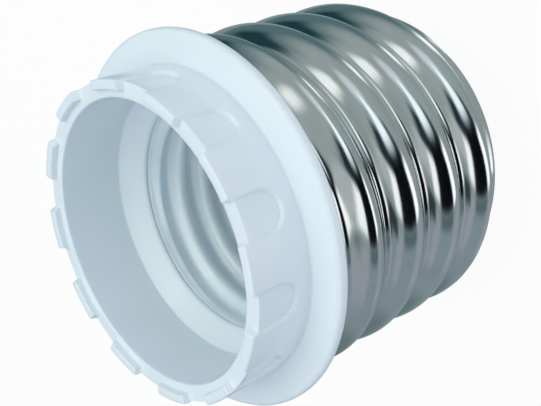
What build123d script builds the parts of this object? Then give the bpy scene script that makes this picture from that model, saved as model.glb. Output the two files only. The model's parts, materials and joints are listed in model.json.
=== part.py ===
from build123d import *
import os
from math import acos, atan2, ceil, cos, radians, sin

os.makedirs("parts", exist_ok=True)

# Lamp socket adapter: a white moulded holder with a castellated collar and a flange, an E40 screw shell
# on its outside and an E27 screw shell inside it. It stands on its end contact with the mouth upwards.
# Millimetres, +Z up along the screw axis, origin in the middle of the end contact's face.

# Heights along the axis, from the end contact up to the rim
end_contact_height = 2.0
end_insulator_reach = 7.1
outer_shell_length = 29.3
flange_thickness = 1.4
collar_height = 6.7
tooth_rise = 0.8
collar_depth = 7.8
funnel_depth = 3.0
contact_base_thickness = 2.6
contact_space = 2.0
end_disc_thickness = 1.6

# Diameters and walls of the moulded holder
collar_bore_diameter = 31.1
collar_wall = 2.05
flange_diameter = 42.4
flange_rounding = 0.55
tooth_thickness = 0.9
seat_clearance = 0.15

# Scooped recesses in the collar's outside, with the teeth of the rim between them
recess_count = 12
recess_turn = 9.6
recess_width = 4.4
recess_length = 4.8
recess_depth = 0.5

# Outer screw, E40: right-hand ridge of equal round crests and hollows, rolled in sheet
outer_pitch = 6.35
outer_crest_diameter = 39.2
outer_thread_depth = 1.8
outer_land_rise = 0.3
outer_sheet = 0.4
outer_crest_height = 13.65
outer_runout = 2.6
outer_end_bevel = 1.0
outer_end_hole_diameter = 30.0

# Inner screw shell, E27: a sheet tube of the thread's major diameter
inner_major_diameter = 27.0
inner_sheet = 0.35
inner_lip_width = 0.85
inner_lead_in = 0.5
inner_floor_hole_diameter = 17.0

# Contacts inside
tongue_sheet = 0.4
tongue_width = 6.0
tongue_rise = 3.0
tongue_pad = 5.0
tongue_rivet_offset = 5.6
strip_sheet = 0.4
strip_width = 5.0
strip_tab = 1.6
strip_rivet_offset = 10.4
rivet_diameter = 2.0
rivet_head_diameter = 3.6
rivet_head_height = 0.7
fastener_clearance = 0.1
strip_clearance = 0.3

# End of the outer screw
end_ring_width = 2.2
end_insulator_tip_diameter = 19.0
end_contact_diameter = 17.0
end_contact_bevel = 0.5
lead_diameter = 1.2
lead_clearance = 0.3

# Levels that follow from the heights
shell_end = end_contact_height + end_insulator_reach
flange_back = shell_end + outer_shell_length
flange_front = flange_back + flange_thickness
rim = flange_front + collar_height
tooth_top = rim + tooth_rise
ledge = rim - collar_depth
shoulder = ledge - funnel_depth
shell_floor = shell_end + outer_sheet
end_disc_top = shell_floor + end_disc_thickness
base_bottom = end_disc_top + contact_space
base_top = base_bottom + contact_base_thickness
inner_shell_depth = shoulder - base_top

# Radii that follow from the diameters and walls
collar_bore = collar_bore_diameter / 2
collar_radius = collar_bore + collar_wall
tooth_inner = collar_radius - tooth_thickness
flange_radius = flange_diameter / 2
outer_crest = outer_crest_diameter / 2
outer_root = outer_crest - outer_thread_depth
outer_core = outer_root + outer_land_rise
outer_inside = outer_core - outer_sheet
outer_neck = outer_core - outer_sheet / 4
outer_trim = outer_crest + outer_sheet
end_corner = outer_neck - outer_end_bevel
end_hole = outer_end_hole_diameter / 2
inner_major = inner_major_diameter / 2
inner_outside = inner_major + inner_sheet
lip_radius = inner_outside + inner_lip_width
funnel_end = lip_radius + seat_clearance
inner_floor_hole = inner_floor_hole_diameter / 2
sleeve_radius = outer_inside - seat_clearance
sleeve_bore = inner_outside + seat_clearance
rivet_radius = rivet_diameter / 2
rivet_head = rivet_head_diameter / 2
rivet_hole = rivet_radius + fastener_clearance
lead_hole = lead_diameter / 2 + lead_clearance


def section_plane(height):
    """Plane through the axis with the radius as its x, and its origin on the axis at a height."""
    return Plane(origin=(0, 0, height), x_dir=(1, 0, 0), z_dir=(0, -1, 0))


# E40 shell: a core with turns of a helical ridge, trimmed at both ends, hollow down to its turned-in end.
# The crest's arc and the hollow's arc have one radius and meet at the flank.
thread_arc = (outer_pitch**2 / 4 + outer_thread_depth**2) / (4 * outer_thread_depth)
crest_centre = outer_crest - thread_arc
hollow_centre = outer_root + thread_arc
flank_turn = atan2(outer_pitch / 2, hollow_centre - crest_centre)
foot_turn = acos(1 - outer_land_rise / thread_arc)
middle_turn = (flank_turn + foot_turn) / 2
flank_radius = crest_centre + thread_arc * cos(flank_turn)
flank_reach = thread_arc * sin(flank_turn)
middle_radius = hollow_centre - thread_arc * cos(middle_turn)
middle_reach = outer_pitch / 2 - thread_arc * sin(middle_turn)
land_reach = outer_pitch / 2 - thread_arc * sin(foot_turn)
turns_below = ceil((outer_crest_height - shell_end) / outer_pitch + 1)
helix_start = outer_crest_height - outer_pitch * turns_below
turn_count = ceil((flange_back - helix_start) / outer_pitch + 1)
turn_places = [(0, 0, outer_pitch * turn) for turn in range(turn_count)]

with BuildPart() as ridge_turn:
    with BuildLine():
        Helix(outer_pitch, outer_pitch, outer_core, center=(0, 0, helix_start))
    with BuildSketch(section_plane(helix_start)):
        with BuildLine():
            ThreePointArc(
                (outer_core, -land_reach),
                (middle_radius, -middle_reach),
                (flank_radius, -flank_reach),
            )
            ThreePointArc((flank_radius, -flank_reach), (outer_crest, 0), (flank_radius, flank_reach))
            ThreePointArc(
                (flank_radius, flank_reach),
                (middle_radius, middle_reach),
                (outer_core, land_reach),
            )
            Polyline(
                (outer_core, land_reach),
                (outer_core - outer_sheet, land_reach),
                (outer_core - outer_sheet, -land_reach),
                (outer_core, -land_reach),
            )
        make_face()
    sweep(is_frenet=True)

with BuildPart() as outer_screw_shell:
    with Locations((0, 0, shell_end)):
        Cylinder(outer_core, outer_shell_length, align=(Align.CENTER, Align.CENTER, Align.MIN))
    with Locations(*turn_places):
        add(ridge_turn.part)
    with BuildSketch(Plane.XZ):
        with BuildLine():
            Polyline(
                (0, flange_back),
                (outer_neck, flange_back),
                (outer_trim, flange_back - outer_runout),
                (outer_trim, shell_end + outer_end_bevel + outer_runout),
                (outer_neck, shell_end + outer_end_bevel),
                (end_corner, shell_end),
                (0, shell_end),
                close=True,
            )
        make_face()
    revolve(axis=Axis.Z, mode=Mode.INTERSECT)
    with BuildSketch(Plane.XZ):
        with BuildLine():
            Polyline(
                (0, flange_back),
                (outer_inside, flange_back),
                (outer_inside, shell_end + outer_end_bevel),
                (end_corner, shell_floor),
                (end_hole, shell_floor),
                (end_hole, shell_end),
                (0, shell_end),
                close=True,
            )
        make_face()
    revolve(axis=Axis.Z, mode=Mode.SUBTRACT)
outer_screw_shell.part.label = "outer_screw_shell"
export_step(outer_screw_shell.part, "parts/outer_screw_shell.step")

# White moulding: collar, flange, ledge with its funnel, and the sleeve that carries both shells
recess_planes = []
for place in range(recess_count):
    turn = radians(recess_turn + 360 / recess_count * place)
    outwards = Vector(cos(turn), sin(turn), 0)
    sideways = Vector(-sin(turn), cos(turn), 0)
    floor_centre = outwards * (collar_radius - recess_depth) + Vector(0, 0, rim)
    recess_planes.append(Plane(origin=floor_centre, x_dir=sideways, z_dir=outwards))

with BuildPart() as holder_body:
    with BuildSketch(Plane.XZ) as holder_section:
        with BuildLine():
            Polyline(
                (collar_bore, rim),
                (tooth_inner, rim),
                (tooth_inner, tooth_top),
                (collar_radius, tooth_top),
                (collar_radius, flange_front),
                (flange_radius, flange_front),
                (flange_radius, flange_back),
                (sleeve_radius, flange_back),
                (sleeve_radius, base_top),
                (sleeve_bore, base_top),
                (sleeve_bore, shoulder),
                (funnel_end, shoulder),
                (collar_bore, ledge),
                close=True,
            )
        make_face()
        flange_corners = holder_section.vertices().group_by(Axis.X)[-1].sort_by(Axis.Z)
        fillet(flange_corners[-1], flange_rounding)
    revolve(axis=Axis.Z)
    with BuildSketch(*recess_planes):
        with Locations((0, recess_width / 2 - recess_length)):
            Circle(recess_width / 2)
            Rectangle(recess_width, recess_length + tooth_rise, align=(Align.CENTER, Align.MIN))
    extrude(amount=recess_depth * 2, mode=Mode.SUBTRACT)
    with BuildSketch(Plane.XY.offset(rim)):
        with PolarLocations(tooth_inner, recess_count, start_angle=recess_turn):
            Rectangle(tooth_thickness * 3, recess_width)
    extrude(amount=tooth_rise, mode=Mode.SUBTRACT)
holder_body.part.label = "holder_body"
export_step(holder_body.part, "parts/holder_body.step")

# E27 shell: lip on the shoulder, tube, and a floor ring on the contact base
lip_height = inner_shell_depth + inner_sheet

with BuildPart() as inner_screw_shell:
    with BuildSketch(section_plane(base_top)):
        with BuildLine():
            Polyline(
                (inner_floor_hole, 0),
                (inner_outside, 0),
                (inner_outside, inner_shell_depth),
                (lip_radius, inner_shell_depth),
                (lip_radius, lip_height),
                (inner_major + inner_lead_in, lip_height),
                (inner_major, lip_height - inner_lead_in),
                (inner_major, inner_sheet),
                (inner_floor_hole, inner_sheet),
                close=True,
            )
        make_face()
    revolve(axis=Axis.Z)
    with BuildSketch(Plane.XY.offset(base_top)):
        with Locations((strip_rivet_offset, 0)):
            Circle(rivet_hole)
    extrude(amount=inner_sheet, mode=Mode.SUBTRACT)
inner_screw_shell.part.label = "inner_screw_shell"
export_step(inner_screw_shell.part, "parts/inner_screw_shell.step")

# Insulating disc under the sleeve, with a hole for each rivet
with BuildPart() as contact_base:
    with BuildSketch(Plane.XY.offset(base_bottom)):
        Circle(sleeve_radius)
        with Locations((-tongue_rivet_offset, 0), (strip_rivet_offset, 0)):
            Circle(rivet_hole, mode=Mode.SUBTRACT)
    extrude(amount=contact_base_thickness)
contact_base.part.label = "contact_base"
export_step(contact_base.part, "parts/contact_base.step")

# Spring leaf for the lamp's centre contact: a riveted foot, a slope and a raised pad on the axis
foot_level = base_top + tongue_sheet / 2
foot_reach = rivet_head + tongue_sheet
pad_level = base_top + tongue_rise

with BuildPart() as centre_contact_tongue:
    with BuildSketch(Plane.XZ):
        with BuildLine() as leaf:
            Polyline(
                (-tongue_rivet_offset - foot_reach, foot_level),
                (-tongue_rivet_offset + foot_reach, foot_level),
                (-tongue_pad / 2, pad_level),
                (tongue_pad / 2, pad_level),
                (tongue_pad / 2 + tongue_sheet, pad_level - tongue_sheet * 2),
            )
        trace(leaf.line, tongue_sheet)
    extrude(amount=tongue_width / 2, both=True)
    with BuildSketch(Plane.XY.offset(base_top)):
        with Locations((-tongue_rivet_offset, 0)):
            Circle(rivet_hole)
    extrude(amount=tongue_rise, mode=Mode.SUBTRACT)
centre_contact_tongue.part.label = "centre_contact_tongue"
export_step(centre_contact_tongue.part, "parts/centre_contact_tongue.step")

# Bent strip under the disc, from the inner shell's rivet to the outer shell's wall
strip_end = outer_inside - fastener_clearance

with BuildPart() as shell_contact_strip:
    with BuildSketch(Plane.XZ):
        with BuildLine():
            Polyline(
                (strip_rivet_offset - rivet_head, base_bottom),
                (strip_end, base_bottom),
                (strip_end, base_bottom - strip_tab),
                (strip_end - strip_sheet * 2, base_bottom - strip_tab),
                (strip_end - strip_sheet * 2, base_bottom - strip_sheet),
                (strip_rivet_offset - rivet_head, base_bottom - strip_sheet),
                close=True,
            )
        make_face()
    extrude(amount=strip_width / 2, both=True)
    with BuildSketch(Plane.XY.offset(base_bottom - strip_tab)):
        Circle(strip_end)
    extrude(amount=strip_tab, mode=Mode.INTERSECT)
    with BuildSketch(Plane.XY.offset(base_bottom - strip_sheet)):
        with Locations((strip_rivet_offset, 0)):
            Circle(rivet_hole)
    extrude(amount=strip_sheet, mode=Mode.SUBTRACT)
shell_contact_strip.part.label = "shell_contact_strip"
export_step(shell_contact_strip.part, "parts/shell_contact_strip.step")


def rivet(offset, grip_bottom, grip_top):
    """Rivet parallel to Z at an offset along X, with a flat head at each end of its grip."""
    with BuildPart() as piece:
        with Locations((offset, 0, grip_bottom)):
            Cylinder(rivet_radius, grip_top - grip_bottom, align=(Align.CENTER, Align.CENTER, Align.MIN))
            Cylinder(rivet_head, rivet_head_height, align=(Align.CENTER, Align.CENTER, Align.MAX))
        with Locations((offset, 0, grip_top)):
            Cylinder(rivet_head, rivet_head_height, align=(Align.CENTER, Align.CENTER, Align.MIN))
    return piece.part


with BuildPart() as tongue_rivet:
    add(rivet(-tongue_rivet_offset, base_bottom, base_top + tongue_sheet))
tongue_rivet.part.label = "tongue_rivet"
export_step(tongue_rivet.part, "parts/tongue_rivet.step")

with BuildPart() as strip_rivet:
    add(rivet(strip_rivet_offset, base_bottom - strip_sheet, base_top + inner_sheet))
strip_rivet.part.label = "strip_rivet"
export_step(strip_rivet.part, "parts/strip_rivet.step")

# Insulator that closes the outer shell: a ring under the disc, a floor on the turned-in end, and a cone
with BuildPart() as end_insulator:
    with BuildSketch(Plane.XZ):
        with BuildLine():
            Polyline(
                (0, end_disc_top),
                (sleeve_radius - end_ring_width, end_disc_top),
                (sleeve_radius - end_ring_width, base_bottom),
                (sleeve_radius, base_bottom),
                (sleeve_radius, shell_end + outer_end_bevel),
                (end_corner - seat_clearance, shell_floor),
                (end_hole - seat_clearance, shell_floor),
                (end_hole - seat_clearance, shell_end),
                (end_insulator_tip_diameter / 2, end_contact_height),
                (0, end_contact_height),
                close=True,
            )
        make_face()
    revolve(axis=Axis.Z)
    with BuildSketch(Plane.XY.offset(base_bottom)):
        with Locations((sleeve_radius, 0)):
            Rectangle(end_ring_width * 3, strip_width + strip_clearance * 2)
    extrude(amount=-strip_tab - strip_clearance, mode=Mode.SUBTRACT)
    with BuildSketch(Plane.XY.offset(end_contact_height)):
        with Locations((-tongue_rivet_offset, 0)):
            Circle(lead_hole)
    extrude(amount=end_disc_top - end_contact_height, mode=Mode.SUBTRACT)
end_insulator.part.label = "end_insulator"
export_step(end_insulator.part, "parts/end_insulator.step")

# Flat disc that the large socket's centre spring presses on
with BuildPart() as end_contact:
    Cylinder(end_contact_diameter / 2, end_contact_height, align=(Align.CENTER, Align.CENTER, Align.MIN))
    chamfer(end_contact.edges().group_by(Axis.Z)[0], end_contact_bevel)
end_contact.part.label = "end_contact"
export_step(end_contact.part, "parts/end_contact.step")

# Straight wire from the tongue's rivet to the end contact
with BuildPart() as centre_lead:
    with BuildSketch(Plane.XY.offset(end_contact_height)):
        with Locations((-tongue_rivet_offset, 0)):
            Circle(lead_diameter / 2)
    extrude(amount=base_bottom - rivet_head_height - end_contact_height)
centre_lead.part.label = "centre_lead"
export_step(centre_lead.part, "parts/centre_lead.step")
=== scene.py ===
"""Lamp socket adapter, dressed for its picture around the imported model."""

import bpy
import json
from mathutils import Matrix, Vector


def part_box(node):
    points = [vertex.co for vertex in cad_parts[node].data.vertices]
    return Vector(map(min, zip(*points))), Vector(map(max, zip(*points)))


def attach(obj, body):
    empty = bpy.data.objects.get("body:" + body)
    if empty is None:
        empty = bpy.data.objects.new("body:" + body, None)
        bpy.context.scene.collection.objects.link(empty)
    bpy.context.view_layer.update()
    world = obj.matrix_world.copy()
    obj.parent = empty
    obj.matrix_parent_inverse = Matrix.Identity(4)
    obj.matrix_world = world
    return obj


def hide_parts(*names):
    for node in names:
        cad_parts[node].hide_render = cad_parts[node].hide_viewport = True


bl_info = {
    "name": "Lamp socket adapter",
    "version": (1, 0, 0),
    "blender": (4, 5, 0),
    "location": "View3D > Sidebar > Adapter",
    "description": "Makes the adapter's moulded holder, rolled screw shells, contact finishes and studio",
    "category": "Object",
}

import json
from math import atan2, cos, floor, hypot, pi, sin, tau

import bmesh
import bpy
from mathutils import Matrix, Vector

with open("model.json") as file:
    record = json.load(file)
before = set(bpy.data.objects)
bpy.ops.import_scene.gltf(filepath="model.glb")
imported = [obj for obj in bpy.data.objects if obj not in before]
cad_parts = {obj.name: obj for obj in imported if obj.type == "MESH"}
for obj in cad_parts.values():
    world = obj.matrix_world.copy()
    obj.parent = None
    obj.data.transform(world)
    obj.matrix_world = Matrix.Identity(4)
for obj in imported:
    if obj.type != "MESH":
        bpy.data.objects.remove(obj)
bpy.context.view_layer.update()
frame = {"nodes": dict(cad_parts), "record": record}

MM = 0.001
BODY = "root"
HOLDER_LOW, HOLDER_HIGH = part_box("holder_body")
OUTER_LOW, OUTER_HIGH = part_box("outer_screw_shell")
INNER_LOW, INNER_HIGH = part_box("inner_screw_shell")
MOUTH = next(mount for mount in frame["record"]["mounts"] if mount["name"] == "socket_mouth")

# A corner within a hair of a line counts as on it, and the flange stays a hair inside its box
HAIR = 0.01 * MM
JOIN_DISTANCE = 0.005 * MM
CUT_DISTANCE = 0.0001 * MM

# Segments of a rounded edge, and the turn in radians from which an edge is shaded as sharp
ROUND_SEGMENTS = 4
SHARP_TURN = 0.6

# Directions of the made-up room that the metal mirrors, which is upright when the adapter lies on its side
ROOM_UP = (0.651, 0.759, 0.0)
ROOM_SIDE = (0.759, -0.651, 0.0)
ROOM_FRONT = (0.0, 0.0, 1.0)

# The room's walls, with the heights between which their shade changes
WALL_LOW = (0.32, 0.375, 0.375)
WALL_HIGH = (0.39, 0.445, 0.445)
WALL_CHANGE = (0.2, 0.9)

# Fields of colour in the room, each laid over those before it. A row holds the turn from the front towards
# the side in radians (from, to, softness), the upward part of the direction (from, to, softness) and the
# colour. A turn past pi or an upward part past 1 has no end on that side.
ALL_ROUND = (-4.00, 4.00, 0.10)
ROOM_FIELDS = (
    (-2.62, -0.80, 0.15, -0.60, 0.66, 0.20, (0.11, 0.20, 0.215)),  # teal wall
    (-1.60, -0.72, 0.20, 0.14, 0.48, 0.08, (0.012, 0.05, 0.058)),  # dark stripe on it
    (-0.46, -0.12, 0.10, 0.34, 0.78, 0.10, (1.20, 1.22, 1.20)),  # high window
    (0.66, 2.45, 0.15, 0.54, 0.87, 0.05, (0.015, 0.025, 0.035)),  # dark beam
    (0.40, 1.16, 0.12, 0.16, 0.54, 0.06, (0.52, 0.56, 0.56)),  # curtain
    (0.84, 1.16, 0.06, 0.08, 0.50, 0.06, (1.25, 1.25, 1.25)),  # first window
    (1.22, 2.20, 0.05, 0.00, 0.70, 0.10, (0.003, 0.004, 0.006)),  # black screen
    (2.24, 2.54, 0.06, -0.04, 0.52, 0.06, (1.45, 1.45, 1.43)),  # second window
    (*ALL_ROUND, 0.968, 2.00, 0.025, (0.72, 0.80, 0.84)),  # ceiling
    (1.22, 2.16, 0.18, 0.78, 2.00, 0.10, (1.16, 1.32, 1.38)),  # skylight
    (*ALL_ROUND, -2.00, 0.00, 0.03, (0.265, 0.335, 0.365)),  # table
    (0.80, 1.20, 0.10, -0.60, -0.06, 0.08, (0.37, 0.40, 0.44)),  # first window's glare on the table
    (2.20, 2.70, 0.12, -0.60, -0.06, 0.08, (0.37, 0.39, 0.44)),  # second window's glare on the table
    (1.26, 2.16, 0.12, -0.16, 0.00, 0.06, (0.11, 0.17, 0.18)),  # black screen's shade on the table
    (0.44, 0.88, 0.08, -0.22, 0.00, 0.05, (0.03, 0.05, 0.045)),  # painted shadow of a dark object on the table
    (-2.86, -2.70, 0.05, -0.50, 0.42, 0.10, (1.20, 1.25, 1.25)),  # narrow light at the back
    (*ALL_ROUND, -2.00, -0.84, 0.08, (0.17, 0.23, 0.24)),  # shade under the adapter
)


def length(name, description, default):
    """A length in metres that a user may change."""
    return bpy.props.FloatProperty(name=name, description=description, default=default, min=0.0,
                                   unit="LENGTH", subtype="DISTANCE", precision=5)


def share(name, description, default, low, high):
    """A share of a whole that a user may change."""
    return bpy.props.FloatProperty(name=name, description=description, default=default, min=low, max=high,
                                   subtype="FACTOR")


def count(name, description, default):
    """A whole number that a user may change."""
    return bpy.props.IntProperty(name=name, description=description, default=default, min=1)


def colour(name, description, default):
    """A colour that a user may change."""
    return bpy.props.FloatVectorProperty(name=name, description=description, default=default, size=3,
                                         subtype="COLOR", min=0.0, max=1.0)


def angle(name, description, default):
    """An angle in radians that a user may change."""
    return bpy.props.FloatProperty(name=name, description=description, default=default, subtype="ANGLE",
                                   unit="ROTATION")


class HolderSizes(bpy.types.PropertyGroup):
    """Sizes and colour of the white moulding."""

    bore: length("Bore", "Radius of the collar's bore", MOUTH["dims"]["r_mm"] * MM)
    collar: length("Collar", "Radius of the collar's outside", 17.6 * MM)
    flange: length("Flange", "Radius of the flange", HOLDER_HIGH[0] - HAIR)
    flange_thickness: length("Flange thickness", "Thickness of the flange", 1.4 * MM)
    flange_rounding: length("Flange rounding", "Radius of the flange's edges", 0.55 * MM)
    collar_height: length("Collar height", "From the flange's front to the rim", 6.7 * MM)
    tooth_rise: length("Tooth rise", "How far the teeth stand above the rim", 0.8 * MM)
    tooth_thickness: length("Tooth thickness", "Wall of a tooth", 1.1 * MM)
    collar_depth: length("Collar depth", "From the rim to the ledge", 7.8 * MM)
    ledge_rounding: length("Ledge rounding", "Radius of the corner between bore and ledge", 0.12 * MM)
    funnel_depth: length("Funnel depth", "From the ledge to the edge over the small shell", 2.3 * MM)
    funnel_end: length("Funnel end", "Radius of the edge over the small shell", 13.54 * MM)
    funnel_rounding: length("Funnel rounding", "Rounding of the edge over the small shell", 0.24 * MM)
    groove: length("Groove", "Radius of the groove that holds the small shell's lip", 14.85 * MM)
    groove_height: length("Groove height", "Height of the groove that holds the lip", 0.38 * MM)
    sleeve: length("Sleeve", "Radius of the sleeve's outside", 17.55 * MM)
    sleeve_bore: length("Sleeve bore", "Radius of the sleeve's bore", 14.0 * MM)
    rounding: length("Rounding", "Radius of the small edges", 0.22 * MM)
    recess_count: count("Recesses", "Scooped recesses round the collar", 12)
    recess_turn: angle("Recess turn", "Place of the first recess", 9.6 * pi / 180)
    recess_width: length("Recess width", "Width of a recess", 4.2 * MM)
    recess_length: length("Recess length", "From the rim to a recess's round end", 4.8 * MM)
    recess_depth: length("Recess depth", "Depth of a recess at its round end", 0.42 * MM)
    recess_fade: share("Recess fade", "Share of its depth that a recess loses up to the rim", 0.55, 0.0, 1.0)
    recess_softness: length("Recess softness", "Half the width of a recess's sloping edge", 0.13 * MM)
    white: colour("White", "Colour of the moulding", (0.80, 0.90, 0.945))


class OuterShellSizes(bpy.types.PropertyGroup):
    """Sizes and colour of the large screw shell."""

    pitch: length("Pitch", "Pitch of the large thread", 6.35 * MM)
    crest: length("Crest", "Radius of the large thread's crest", OUTER_HIGH[0])
    root: length("Root", "Radius of the large thread's hollow", 17.8 * MM)
    crest_height: length("Crest height", "Height of a crest on the +X side", 13.65 * MM)
    crest_share: share("Crest share", "Share of the crest's arc in a wave", 0.78, 0.1, 0.9)
    runout: length("Run-out", "Length over which the thread fades at the drawn-in end", 3.2 * MM)
    collar_runout: length("Collar run-out", "Length over which the thread fades at the flange", 1.2 * MM)
    bead: length("Bead", "How far below the flange the last crest is a narrow bead", 4.5 * MM)
    bead_end: length("Bead end", "How far below the flange the crest has its full width", 8.0 * MM)
    bead_narrowing: bpy.props.FloatProperty(
        name="Bead narrowing", description="How much the bead is narrowed", default=1.5, min=0.0, max=4.0)
    end_rounding: length("End rounding", "Radius of the drawn-in end", 1.0 * MM)
    end_hole: length("End hole", "Radius of the hole in the drawn-in end", 15.0 * MM)
    sheet: length("Sheet", "Thickness of the sheet", 0.4 * MM)
    nickel: colour("Nickel", "Colour of the plating", (0.72, 0.75, 0.75))


class InnerShellSizes(bpy.types.PropertyGroup):
    """Sizes and colour of the small screw shell."""

    pitch: length("Pitch", "Pitch of the small thread", 3.629 * MM)
    major: length("Major", "Radius of the small thread's hollow, from inside", 13.5 * MM)
    minor: length("Minor", "Radius of the small thread's crest, from inside", 12.35 * MM)
    crest_height: length("Crest height", "Height of a hollow on the +X side", 17.3 * MM)
    crest_share: share("Crest share", "Share of the hollow's arc in a wave", 0.5, 0.1, 0.9)
    runout: length("Run-out", "Length over which the thread fades at each end", 1.8 * MM)
    lip: length("Lip", "Radius of the lip", INNER_HIGH[0])
    floor_hole: length("Floor hole", "Radius of the hole in the floor ring", 8.5 * MM)
    sheet: length("Sheet", "Thickness of the sheet", 0.35 * MM)
    metal: colour("Metal", "Colour of the small shell", (0.84, 0.95, 1.0))


class ContactColours(bpy.types.PropertyGroup):
    """Colours of the contacts and the insulation."""

    brass: colour("Brass", "Colour of the contacts inside", (0.80, 0.62, 0.33))
    plate: colour("Plate", "Colour of the end contact", (0.74, 0.72, 0.68))
    stone: colour("Stone", "Colour of the insulation", (0.72, 0.72, 0.69))


class Value:
    """A socket's number in shader maths: an expression on values adds its Math nodes."""

    def __init__(self, paint, socket):
        self.paint = paint
        self.socket = socket

    def __add__(self, other):
        return self.paint.maths("ADD", self, other)

    def __sub__(self, other):
        return self.paint.maths("SUBTRACT", self, other)

    def __rsub__(self, other):
        return self.paint.maths("SUBTRACT", other, self)

    def __mul__(self, other):
        return self.paint.maths("MULTIPLY", self, other)

    __radd__ = __add__
    __rmul__ = __mul__


class Paint:
    """A node tree that is being filled."""

    def __init__(self, tree):
        self.tree = tree
        tree.nodes.clear()

    def node(self, kind, settings, sockets):
        """A new node: its settings are set first, then its sockets are set or linked."""
        node = self.tree.nodes.new(kind)
        for key, setting in settings.items():
            setattr(node, key, setting)
        for key, value in sockets.items():
            if isinstance(value, Value):
                self.tree.links.new(value.socket, node.inputs[key])
            else:
                node.inputs[key].default_value = value
        return node

    def out(self, node, key=0):
        """A node's output as a value."""
        return Value(self, node.outputs[key])

    def maths(self, operation, first, second):
        """One Math node."""
        return self.out(self.node("ShaderNodeMath", {"operation": operation}, {0: first, 1: second}))

    def rise(self, value, low, high):
        """0 below low, 1 above high and smooth between them."""
        settings = {"interpolation_type": "SMOOTHSTEP", "clamp": True}
        sockets = {"Value": value, "From Min": low, "From Max": high}
        return self.out(self.node("ShaderNodeMapRange", settings, sockets))

    def between(self, value, low, high, soft):
        """1 from low to high and 0 outside, with soft ends."""
        return self.rise(value, low - soft, low + soft) * (1 - self.rise(value, high - soft, high + soft))

    def along(self, vector, way):
        """How far a vector goes along a fixed way."""
        node = self.node("ShaderNodeVectorMath", {"operation": "DOT_PRODUCT"}, {0: vector, 1: way})
        return self.out(node, "Value")

    def blend(self, factor, first, second):
        """Mixes two colours by a factor."""
        # A Mix node has its colours at inputs 6 and 7 and their mix at output 2
        node = self.node("ShaderNodeMix", {"data_type": "RGBA"}, {0: factor, 6: first, 7: second})
        return self.out(node, 2)

    def noise(self, vector, scale, detail, roughness=0.5):
        """Noise from 0 to 1."""
        sockets = {"Vector": vector, "Scale": scale, "Detail": detail, "Roughness": roughness}
        return self.out(self.node("ShaderNodeTexNoise", {}, sockets), "Fac")

    def place(self):
        """Object coordinates."""
        return self.out(self.node("ShaderNodeTexCoord", {}, {}), "Object")

    def stretched(self, vector, scale):
        """A vector scaled by three factors."""
        return self.out(self.node("ShaderNodeMapping", {}, {"Vector": vector, "Scale": scale}))

    def bump(self, height, distance, strength):
        """A normal bent by a height."""
        sockets = {"Height": height, "Distance": distance, "Strength": strength}
        return self.out(self.node("ShaderNodeBump", {}, sockets))

    def surface(self, sockets):
        """A Principled shader on the material's output."""
        shader = self.node("ShaderNodeBsdfPrincipled", {}, sockets)
        self.node("ShaderNodeOutputMaterial", {}, {"Surface": self.out(shader)})

    def mixed(self, factor, first, second):
        """Mixes two shader nodes by a factor."""
        sockets = {0: factor, 1: self.out(first), 2: self.out(second)}
        return self.node("ShaderNodeMixShader", {}, sockets)


def new_material(name):
    """An empty node material and its paint."""
    material = bpy.data.materials.new(name)
    material.use_nodes = True
    return material, Paint(material.node_tree)


def opaque(shade):
    """A colour with its alpha."""
    return (shade[0], shade[1], shade[2], 1.0)


def tinted(shade, factor):
    """A colour made darker or lighter by a factor."""
    return (shade[0] * factor, shade[1] * factor, shade[2] * factor, 1.0)


def white_moulding(shade):
    """Glossy white plastic with a faint flow pattern and a fine moulded grain."""
    material, paint = new_material("white_moulding")
    place = paint.place()
    flow = paint.noise(paint.stretched(place, scale=(1, 1, 0.35)), scale=160, detail=3)
    grain = paint.noise(place, scale=5200, detail=2)
    clear = paint.rise(flow, low=0.35, high=0.7)
    paint.surface({
        "Base Color": paint.blend(clear, tinted(shade, factor=0.985), opaque(shade)),
        "Roughness": 0.26 + 0.08 * flow,
        "IOR": 1.5,
        "Coat Weight": 0.25,
        "Coat Roughness": 0.12,
        "Normal": paint.bump(grain, distance=0.02 * MM, strength=0.12),
    })
    return material


def rolled_metal(name, shade, roughness, lines, metallic=1.0):
    """Plated sheet with fine lines left by the rolls and a faint cloudiness."""
    material, paint = new_material(name)
    place = paint.place()
    cloud = paint.noise(place, scale=210, detail=4, roughness=0.6)
    rolling = paint.noise(paint.stretched(place, scale=(0.6, 0.6, 9.0)), scale=lines, detail=3)
    clear = paint.rise(cloud, low=0.3, high=0.75)
    paint.surface({
        "Base Color": paint.blend(clear, tinted(shade, factor=0.92), opaque(shade)),
        "Metallic": metallic,
        "Roughness": roughness + 0.06 * cloud + 0.05 * rolling,
        "Normal": paint.bump(rolling, distance=0.02 * MM, strength=0.10),
    })
    return material


def pressed_stone(shade):
    """Matt pressed insulation with fine specks."""
    material, paint = new_material("insulation")
    specks = paint.noise(paint.place(), scale=2400, detail=4, roughness=0.7)
    dark = paint.rise(specks, low=0.45, high=0.75)
    paint.surface({
        "Base Color": paint.blend(dark, opaque(shade), tinted(shade, factor=0.84)),
        "Roughness": 0.52 + 0.12 * specks,
        "Normal": paint.bump(specks, distance=0.03 * MM, strength=0.25),
    })
    return material


def show_node(name, material):
    """Gives a CAD node its finish."""
    node = frame["nodes"][name]
    node.data.materials.clear()
    node.data.materials.append(material)


def new_piece(name, shape, material, node):
    """Makes a finished bmesh a smooth piece that stands for a CAD node."""
    mesh = bpy.data.meshes.new(name)
    shape.to_mesh(mesh)
    shape.free()
    mesh.materials.append(material)
    for polygon in mesh.polygons:
        polygon.use_smooth = True
    mesh.set_sharp_from_angle(angle=SHARP_TURN)
    piece = bpy.data.objects.new(name, mesh)
    bpy.context.scene.collection.objects.link(piece)
    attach(piece, BODY)
    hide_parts(node)


def smooth_step(value, low, high):
    """0 at low, 1 at high and smooth between them."""
    part = min(max((value - low) / (high - low), 0.0), 1.0)
    return part * part * (3 - 2 * part)


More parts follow.
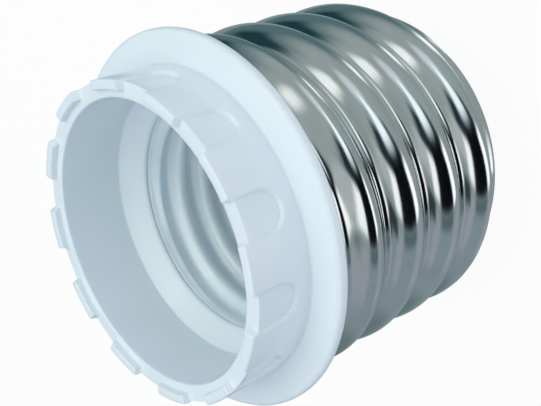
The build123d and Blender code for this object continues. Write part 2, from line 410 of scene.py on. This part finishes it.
def radius_of(corner):
    """How far a corner lies from the screw axis."""
    return hypot(corner.co.x, corner.co.y)


def set_radius(corner, radius):
    """Moves a corner straight in or out to a radius."""
    scale = radius / radius_of(corner)
    corner.co.x *= scale
    corner.co.y *= scale


def wire(shape, points, closed):
    """Vertices and edges of a section, from pairs of radius and height."""
    corners = [shape.verts.new((radius, 0.0, height)) for radius, height in points]
    following = corners[1:] + corners[:1] if closed else corners[1:]
    for pair in zip(corners, following):
        shape.edges.new(pair)
    return corners


def round_corner(shape, corner, radius):
    """Rounds a corner of a section."""
    bmesh.ops.bevel(shape, geom=[corner], offset=radius, offset_type="OFFSET", affect="VERTICES",
                    segments=ROUND_SEGMENTS, profile=0.5, material=-1)


def sweep_round(shape, steps, turn, rise):
    """Sweeps the section round the axis by a turn, with a rise over it."""
    bmesh.ops.spin(shape, geom=shape.verts[:] + shape.edges[:], cent=(0, 0, 0), axis=(0, 0, 1),
                   dvec=(0, 0, rise / steps), angle=turn, steps=steps, use_merge=False)


def everything(shape):
    """All vertices, edges and faces of a shape."""
    return shape.verts[:] + shape.edges[:] + shape.faces[:]


def repeat(shape, moves):
    """Adds a moved copy of the whole shape for each move, and joins what meets."""
    first = everything(shape)
    for move in moves:
        copy = bmesh.ops.duplicate(shape, geom=first)["geom"]
        corners = [item for item in copy if isinstance(item, bmesh.types.BMVert)]
        bmesh.ops.transform(shape, matrix=move, verts=corners)
    bmesh.ops.remove_doubles(shape, verts=shape.verts[:], dist=JOIN_DISTANCE)


def cut_level(shape, height, side):
    """Cuts off what lies above a height, for a side of 1, or below it, for -1."""
    bmesh.ops.bisect_plane(shape, geom=everything(shape), dist=CUT_DISTANCE, plane_co=(0, 0, height),
                           plane_no=(0, 0, side), clear_outer=True)


def carry_on(shape, level, rings):
    """Carries the open end at a level on through rings of radius and height."""
    loop = [edge for edge in shape.edges if edge.is_boundary
            and all(abs(corner.co.z - level) < HAIR for corner in edge.verts)]
    for radius, height in rings:
        made = bmesh.ops.extrude_edge_only(shape, edges=loop)["geom"]
        loop = [item for item in made if isinstance(item, bmesh.types.BMEdge) and item.is_boundary]
        for corner in made:
            if isinstance(corner, bmesh.types.BMVert):
                set_radius(corner, radius)
                corner.co.z = height


def first_crest(height, pitch, bottom):
    """The highest crest on the +X side that lies a full pitch or more below the bottom."""
    return height - pitch * (floor((height - bottom) / pitch) + 2)


def wave_section(crest, hollow, pitch, start, rows, crest_share):
    """One pitch of a thread, a crest's arc and a hollow's arc that meet, as pairs of radius and height."""
    depth = crest - hollow
    both_arcs = (pitch ** 2 / 4 + depth ** 2) / (2 * depth)
    crest_arc = both_arcs * crest_share
    hollow_arc = both_arcs - crest_arc
    flank = atan2(pitch / 2, both_arcs - depth)
    turns = [flank * (2 * row / rows - 1) for row in range(rows + 1)]
    points = [(crest - crest_arc * (1 - cos(turn)), start + crest_arc * sin(turn)) for turn in turns]
    middle = start + pitch / 2
    for turn in turns[1:]:
        points.append((hollow + hollow_arc * (1 - cos(turn)), middle + hollow_arc * sin(turn)))
    return points


def thread(shape, section, pitch, start, bottom, top, steps):
    """A right-hand thread of one sheet from a one-pitch section, cut off at the bottom and the top."""
    wire(shape, section, False)
    sweep_round(shape, steps, tau, pitch)
    turns = floor((top - start) / pitch) + 2
    repeat(shape, [Matrix.Translation((0, 0, pitch * turn)) for turn in range(1, turns)])
    cut_level(shape, bottom, -1)
    cut_level(shape, top, 1)


def fade(shape, plain, bottom, top, low_runout, high_runout):
    """Draws a thread to a plain radius towards both of its ends."""
    for corner in shape.verts:
        kept_low = smooth_step(corner.co.z - bottom, 0.0, low_runout)
        kept_high = smooth_step(top - corner.co.z, 0.0, high_runout)
        set_radius(corner, plain + (radius_of(corner) - plain) * kept_low * kept_high)


class ADAPTER_OT_holder(bpy.types.Operator):
    """Make the white moulding with its castellated collar"""

    bl_idname = "adapter.holder"
    bl_label = "Moulded holder"

    # Steps round the axis for one recess and its tooth, and cuts in the collar's wall
    steps = 60
    wall_cuts = 52

    # Rows on flat faces beside rounded edges, which keep the shading there flat, on the funnel as a step
    # across and a step up or down
    bore_row = 0.5 * MM
    front_row = 0.6 * MM
    flange_row = 1.2 * MM
    funnel_low_row = (0.5 * MM, 0.575 * MM)
    funnel_high_row = (0.35 * MM, 0.4025 * MM)

    def execute(self, context):
        sizes = context.scene.adapter_holder
        spacing = tau / sizes.recess_count
        shape = bmesh.new()
        self.section(shape, sizes, context.scene.adapter_inner.sheet)
        sweep_round(shape, self.steps, spacing, 0.0)
        self.carve(shape, sizes, spacing)
        repeat(shape, [Matrix.Rotation(spacing * place, 4, "Z") for place in range(1, sizes.recess_count)])
        bmesh.ops.recalc_face_normals(shape, faces=shape.faces[:])
        material = white_moulding(sizes.white)
        new_piece("moulded_holder", shape, material, "holder_body")
        return {"FINISHED"}

    def section(self, shape, sizes, lip_sheet):
        """Outline of the moulding, with rounded corners and fine rows on the collar's wall."""
        top = HOLDER_HIGH[2]
        low = HOLDER_LOW[2]
        rim = top - sizes.tooth_rise
        front = rim - sizes.collar_height
        back = front - sizes.flange_thickness
        ledge = rim - sizes.collar_depth
        funnel_low = ledge - sizes.funnel_depth
        shoulder = INNER_HIGH[2] - lip_sheet
        groove_top = shoulder + sizes.groove_height
        tooth = sizes.collar - sizes.tooth_thickness
        small = sizes.rounding
        wide = sizes.flange_rounding
        low_out, low_up = self.funnel_low_row
        high_in, high_down = self.funnel_high_row
        # Radius, height and rounding of each corner, from the ledge round the outside and back up the funnel
        points = [
            (sizes.bore, ledge, sizes.ledge_rounding),
            (sizes.bore, ledge + self.bore_row, 0),
            (sizes.bore, rim - self.bore_row, 0),
            (sizes.bore, rim, small),
            (tooth, rim, 0),
            (tooth, top, small),
            (sizes.collar, top, small),
            (sizes.collar, front, small),
            (sizes.collar + self.front_row, front, 0),
            (sizes.flange - self.flange_row, front, 0),
            (sizes.flange, front, wide),
            (sizes.flange, back, wide),
            (sizes.flange - self.flange_row, back, 0),
            (sizes.sleeve, back, 0),
            (sizes.sleeve, low, 0),
            (sizes.sleeve_bore, low, 0),
            (sizes.sleeve_bore, shoulder, 0),
            (sizes.groove, shoulder, 0),
            (sizes.groove, groove_top, 0),
            (sizes.funnel_end, groove_top, 0),
            (sizes.funnel_end, funnel_low, sizes.funnel_rounding),
            (sizes.funnel_end + low_out, funnel_low + low_up, 0),
            (sizes.bore - high_in, ledge - high_down, 0),
        ]
        corners = wire(shape, [point[:2] for point in points], True)
        for corner, (radius, height, rounding) in zip(corners, points):
            if rounding:
                round_corner(shape, corner, rounding)
        wall = [edge for edge in shape.edges if edge.calc_length() > sizes.recess_length
                and all(abs(corner.co.x - sizes.collar) < HAIR for corner in edge.verts)]
        bmesh.ops.subdivide_edges(shape, edges=wall, cuts=self.wall_cuts)

    def carve(self, shape, sizes, spacing):
        """Scoops the recess and lowers the rim beside the tooth."""
        rim = HOLDER_HIGH[2] - sizes.tooth_rise
        half_width = sizes.recess_width / 2
        centre = rim - sizes.recess_length + half_width
        soft = sizes.recess_softness
        inner = sizes.collar - sizes.tooth_thickness - HAIR
        low = rim - sizes.recess_length - 2 * soft
        for corner in shape.verts:
            radius = radius_of(corner)
            if radius < inner or corner.co.z < low:
                continue
            turn = atan2(corner.co.y, corner.co.x) - sizes.recess_turn
            turn -= spacing * floor(turn / spacing + 0.5)
            across = turn * sizes.collar
            below = min(corner.co.z - centre, 0.0)
            inside = 1 - smooth_step(hypot(across, below) - half_width, -soft, soft)
            outer = smooth_step(radius, inner, sizes.collar)
            depth = sizes.recess_depth * (1 - sizes.recess_fade * smooth_step(corner.co.z, centre, rim))
            set_radius(corner, radius - depth * inside * outer)
            if corner.co.z > rim:
                corner.co.z = rim + (corner.co.z - rim) * (1 - inside)


class ADAPTER_OT_outer_shell(bpy.types.Operator):
    """Make the large rolled screw shell"""

    bl_idname = "adapter.outer_shell"
    bl_label = "Large screw shell"

    # Rows of each arc of the thread, steps of one turn, and steps of the drawn-in end's round corner
    rows = 20
    steps = 180
    corner_steps = 6

    def execute(self, context):
        sizes = context.scene.adapter_outer
        bottom = OUTER_LOW[2] + sizes.end_rounding
        top = OUTER_HIGH[2]
        start = first_crest(sizes.crest_height, sizes.pitch, bottom)
        shape = bmesh.new()
        section = wave_section(sizes.crest, sizes.root, sizes.pitch, start, self.rows, sizes.crest_share)
        thread(shape, section, sizes.pitch, start, bottom, top, self.steps)
        self.narrow_last_crest(shape, sizes, top)
        fade(shape, sizes.root, bottom, top, sizes.runout, sizes.collar_runout)
        carry_on(shape, bottom, self.drawn_in(sizes, bottom))
        bmesh.ops.recalc_face_normals(shape, faces=shape.faces[:])
        bmesh.ops.solidify(shape, geom=shape.faces[:], thickness=sizes.sheet)
        material = rolled_metal("nickel_sheet", sizes.nickel, roughness=0.06, lines=900)
        new_piece("large_screw_shell", shape, material, "outer_screw_shell")
        return {"FINISHED"}

    def narrow_last_crest(self, shape, sizes, top):
        """Narrows the crest beside the flange to a bead, with a wider land beside it."""
        depth = sizes.crest - sizes.root
        for corner in shape.verts:
            part = min(max((radius_of(corner) - sizes.root) / depth, 0.0), 1.0)
            beside = 1 - smooth_step(top - corner.co.z, sizes.bead, sizes.bead_end)
            set_radius(corner, sizes.root + depth * part ** (1 + sizes.bead_narrowing * beside))

    def drawn_in(self, sizes, bottom):
        """Rings of the round corner and the turned-in end, as pairs of radius and height."""
        rings = []
        for step in range(1, self.corner_steps + 1):
            turn = step / self.corner_steps * pi / 2
            radius = sizes.root - sizes.end_rounding * (1 - cos(turn))
            rings.append((radius, bottom - sizes.end_rounding * sin(turn)))
        rings.append((sizes.end_hole, bottom - sizes.end_rounding))
        return rings


class ADAPTER_OT_inner_shell(bpy.types.Operator):
    """Make the small rolled screw shell"""

    bl_idname = "adapter.inner_shell"
    bl_label = "Small screw shell"

    # Rows of each arc of the thread, and steps of one turn
    rows = 12
    steps = 160

    # The lip's rings, outwards and upwards from the wall's top, and then from the foot of the lip's edge
    wall_rings = ((0.12 * MM, 0.20 * MM), (0.40 * MM, 0.34 * MM))
    edge_rings = ((-0.20 * MM, 0.35 * MM), (-0.05 * MM, 0.28 * MM), (0.0, 0.14 * MM), (0.0, 0.0))

    def execute(self, context):
        sizes = context.scene.adapter_inner
        bottom = INNER_LOW[2] + sizes.sheet
        top = INNER_HIGH[2] - sizes.sheet
        start = first_crest(sizes.crest_height, sizes.pitch, bottom)
        shape = bmesh.new()
        section = wave_section(sizes.major, sizes.minor, sizes.pitch, start, self.rows, sizes.crest_share)
        thread(shape, section, sizes.pitch, start, bottom, top, self.steps)
        fade(shape, sizes.major, bottom, top, sizes.runout, sizes.runout)
        carry_on(shape, top, self.lip(sizes, top))
        carry_on(shape, bottom, [(sizes.floor_hole, bottom)])
        bmesh.ops.recalc_face_normals(shape, faces=shape.faces[:])
        bmesh.ops.solidify(shape, geom=shape.faces[:], thickness=sizes.sheet)
        material = rolled_metal("inner_sheet", sizes.metal, roughness=0.32, lines=700, metallic=0.30)
        new_piece("small_screw_shell", shape, material, "inner_screw_shell")
        return {"FINISHED"}

    def lip(self, sizes, top):
        """Rings of the rolled lip, as pairs of radius and height."""
        rings = [(sizes.major + outwards, top + upwards) for outwards, upwards in self.wall_rings]
        rings += [(sizes.lip + outwards, top + upwards) for outwards, upwards in self.edge_rings]
        return rings


class ADAPTER_OT_contacts(bpy.types.Operator):
    """Finish the contacts and the insulation"""

    bl_idname = "adapter.contacts"
    bl_label = "Contacts and insulation"

    brass_nodes = ("centre_contact_tongue", "tongue_rivet", "shell_contact_strip", "strip_rivet",
                   "centre_lead")
    stone_nodes = ("contact_base", "end_insulator")

    def execute(self, context):
        colours = context.scene.adapter_contacts
        brass = rolled_metal("contact_brass", colours.brass, roughness=0.18, lines=800)
        plate = rolled_metal("end_plate", colours.plate, roughness=0.24, lines=800)
        stone = pressed_stone(colours.stone)
        for name in self.brass_nodes:
            show_node(name, brass)
        for name in self.stone_nodes:
            show_node(name, stone)
        show_node("end_contact", plate)
        return {"FINISHED"}


class ADAPTER_OT_stage(bpy.types.Operator):
    """Make the floor, the light and the camera"""

    bl_idname = "adapter.stage"
    bl_label = "Studio"

    # The floor, and the share of plain white in what the camera sees of it
    floor_radius = 3.0
    floor_segments = 96
    floor_colour = (0.86, 0.87, 0.87)
    floor_white = 0.93

    # The world's light on the object, and the white that the camera sees behind it
    even_colour = (0.83, 0.89, 1.08)
    even_strength = 0.60
    white = (1.0, 1.0, 1.0)
    backdrop_strength = 0.965

    # Name, place and width in metres and power in watts of each lamp, and what they share
    lamps = (
        ("key", (0.10, 0.13, 0.46), 0.44, 1.15),
        ("front", (0.38, 0.02, 0.24), 0.40, 0.05),
    )
    lamp_colour = (1.0, 0.985, 0.79)
    lamp_target = (0.0, 0.0, 0.03)

    # The camera's own directions, its place in mm from the middle of the rim, and its lens
    camera_right = (0.65133, -0.22754, -0.72389)
    camera_up = (0.00021, 0.95401, -0.29965)
    camera_back = (0.75880, 0.19506, 0.62146)
    camera_place = (79.643, 19.513, 47.53)
    camera_lens = 60.455
    camera_sensor = 36.0
    camera_clip = 0.005

    def execute(self, context):
        scene = context.scene
        scene.view_settings.view_transform = "Standard"
        self.lay_floor(scene)
        self.light_world(scene)
        for name, place, width, power in self.lamps:
            self.hang_lamp(scene, name, place, width, power)
        self.place_camera(scene)
        return {"FINISHED"}

    def lay_floor(self, scene):
        """A pale floor that keeps the shadow and isn't mirrored in the metal."""
        shape = bmesh.new()
        bmesh.ops.create_circle(shape, cap_ends=True, segments=self.floor_segments, radius=self.floor_radius)
        mesh = bpy.data.meshes.new("floor")
        shape.to_mesh(mesh)
        shape.free()
        material, paint = new_material("floor")
        diffuse = paint.node("ShaderNodeBsdfDiffuse", {}, {"Color": opaque(self.floor_colour)})
        glow = paint.node("ShaderNodeEmission", {}, {"Color": opaque(self.white), "Strength": 1.0})
        path = paint.node("ShaderNodeLightPath", {}, {})
        seen = paint.out(path, "Is Camera Ray") * self.floor_white
        shader = paint.mixed(seen, diffuse, glow)
        paint.node("ShaderNodeOutputMaterial", {}, {"Surface": paint.out(shader)})
        mesh.materials.append(material)
        ground = bpy.data.objects.new("floor", mesh)
        ground.visible_glossy = False
        scene.collection.objects.link(ground)

    def light_world(self, scene):
        """Even light all round, a made-up room for the metal to mirror, and white behind the object."""
        world = bpy.data.worlds.new("studio")
        world.use_nodes = True
        scene.world = world
        paint = Paint(world.node_tree)
        path = paint.node("ShaderNodeLightPath", {}, {})
        even = self.background(paint, opaque(self.even_colour), self.even_strength)
        mirror = self.background(paint, self.room(paint), 1.0)
        white = self.background(paint, opaque(self.white), self.backdrop_strength)
        lit = paint.mixed(paint.out(path, "Is Glossy Ray"), even, mirror)
        shader = paint.mixed(paint.out(path, "Is Camera Ray"), lit, white)
        paint.node("ShaderNodeOutputWorld", {}, {"Surface": paint.out(shader)})

    def background(self, paint, shade, strength):
        """A background of one colour, or of a value's colours."""
        return paint.node("ShaderNodeBackground", {}, {"Color": shade, "Strength": strength})

    def room(self, paint):
        """The made-up room: grey walls with the fields of colour laid over them."""
        way = paint.out(paint.node("ShaderNodeTexCoord", {}, {}), "Generated")
        height = paint.along(way, ROOM_UP)
        turn = paint.maths("ARCTAN2", paint.along(way, ROOM_SIDE), paint.along(way, ROOM_FRONT))
        shade = paint.blend(paint.rise(height, *WALL_CHANGE), opaque(WALL_LOW), opaque(WALL_HIGH))
        for turn_from, turn_to, turn_soft, height_from, height_to, height_soft, tone in ROOM_FIELDS:
            turn_mask = paint.between(turn, turn_from, turn_to, turn_soft)
            height_mask = paint.between(height, height_from, height_to, height_soft)
            shade = paint.blend(turn_mask * height_mask, shade, opaque(tone))
        return shade

    def hang_lamp(self, scene, name, place, width, power):
        """A soft square lamp that points at the adapter."""
        data = bpy.data.lights.new(name, "AREA")
        data.size = width
        data.energy = power
        data.color = self.lamp_colour
        lamp = bpy.data.objects.new(name, data)
        lamp.location = place
        lamp.visible_glossy = False
        lamp.rotation_euler = (Vector(self.lamp_target) - Vector(place)).to_track_quat("-Z", "Y").to_euler()
        scene.collection.objects.link(lamp)

    def place_camera(self, scene):
        """The photograph's view: from above the mouth, on one side, rolled so that the adapter lies."""
        data = bpy.data.cameras.new("camera")
        data.lens = self.camera_lens
        data.sensor_width = self.camera_sensor
        data.clip_start = self.camera_clip
        view = bpy.data.objects.new("camera", data)
        turn = Matrix((self.camera_right, self.camera_up, self.camera_back)).transposed()
        rim = Vector((0, 0, HOLDER_HIGH[2] - scene.adapter_holder.tooth_rise))
        view.matrix_world = Matrix.Translation(rim + Vector(self.camera_place) * MM) @ turn.to_4x4()
        scene.collection.objects.link(view)
        scene.camera = view


class ADAPTER_PT_panel(bpy.types.Panel):
    """The adapter's pieces in the sidebar"""

    bl_idname = "ADAPTER_PT_panel"
    bl_label = "Lamp socket adapter"
    bl_space_type = "VIEW_3D"
    bl_region_type = "UI"
    bl_category = "Adapter"

    def draw(self, context):
        for operator in OPERATORS:
            self.layout.operator(operator.bl_idname)


OPERATORS = (ADAPTER_OT_holder, ADAPTER_OT_outer_shell, ADAPTER_OT_inner_shell, ADAPTER_OT_contacts,
             ADAPTER_OT_stage)
GROUPS = {
    "adapter_holder": HolderSizes,
    "adapter_outer": OuterShellSizes,
    "adapter_inner": InnerShellSizes,
    "adapter_contacts": ContactColours,
}


def register():
    """Registers the classes and gives the scene its sizes and colours."""
    for group in GROUPS.values():
        bpy.utils.register_class(group)
    for operator in OPERATORS:
        bpy.utils.register_class(operator)
    bpy.utils.register_class(ADAPTER_PT_panel)
    for name, group in GROUPS.items():
        setattr(bpy.types.Scene, name, bpy.props.PointerProperty(type=group))


def unregister():
    """Takes the classes, sizes and colours away again."""
    for name in GROUPS:
        delattr(bpy.types.Scene, name)
    bpy.utils.unregister_class(ADAPTER_PT_panel)
    for operator in reversed(OPERATORS):
        bpy.utils.unregister_class(operator)
    for group in GROUPS.values():
        bpy.utils.unregister_class(group)


def main():
    """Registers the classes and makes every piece."""
    register()
    bpy.ops.adapter.holder()
    bpy.ops.adapter.outer_shell()
    bpy.ops.adapter.inner_shell()
    bpy.ops.adapter.contacts()
    bpy.ops.adapter.stage()


if __name__ == "__main__":
    main()
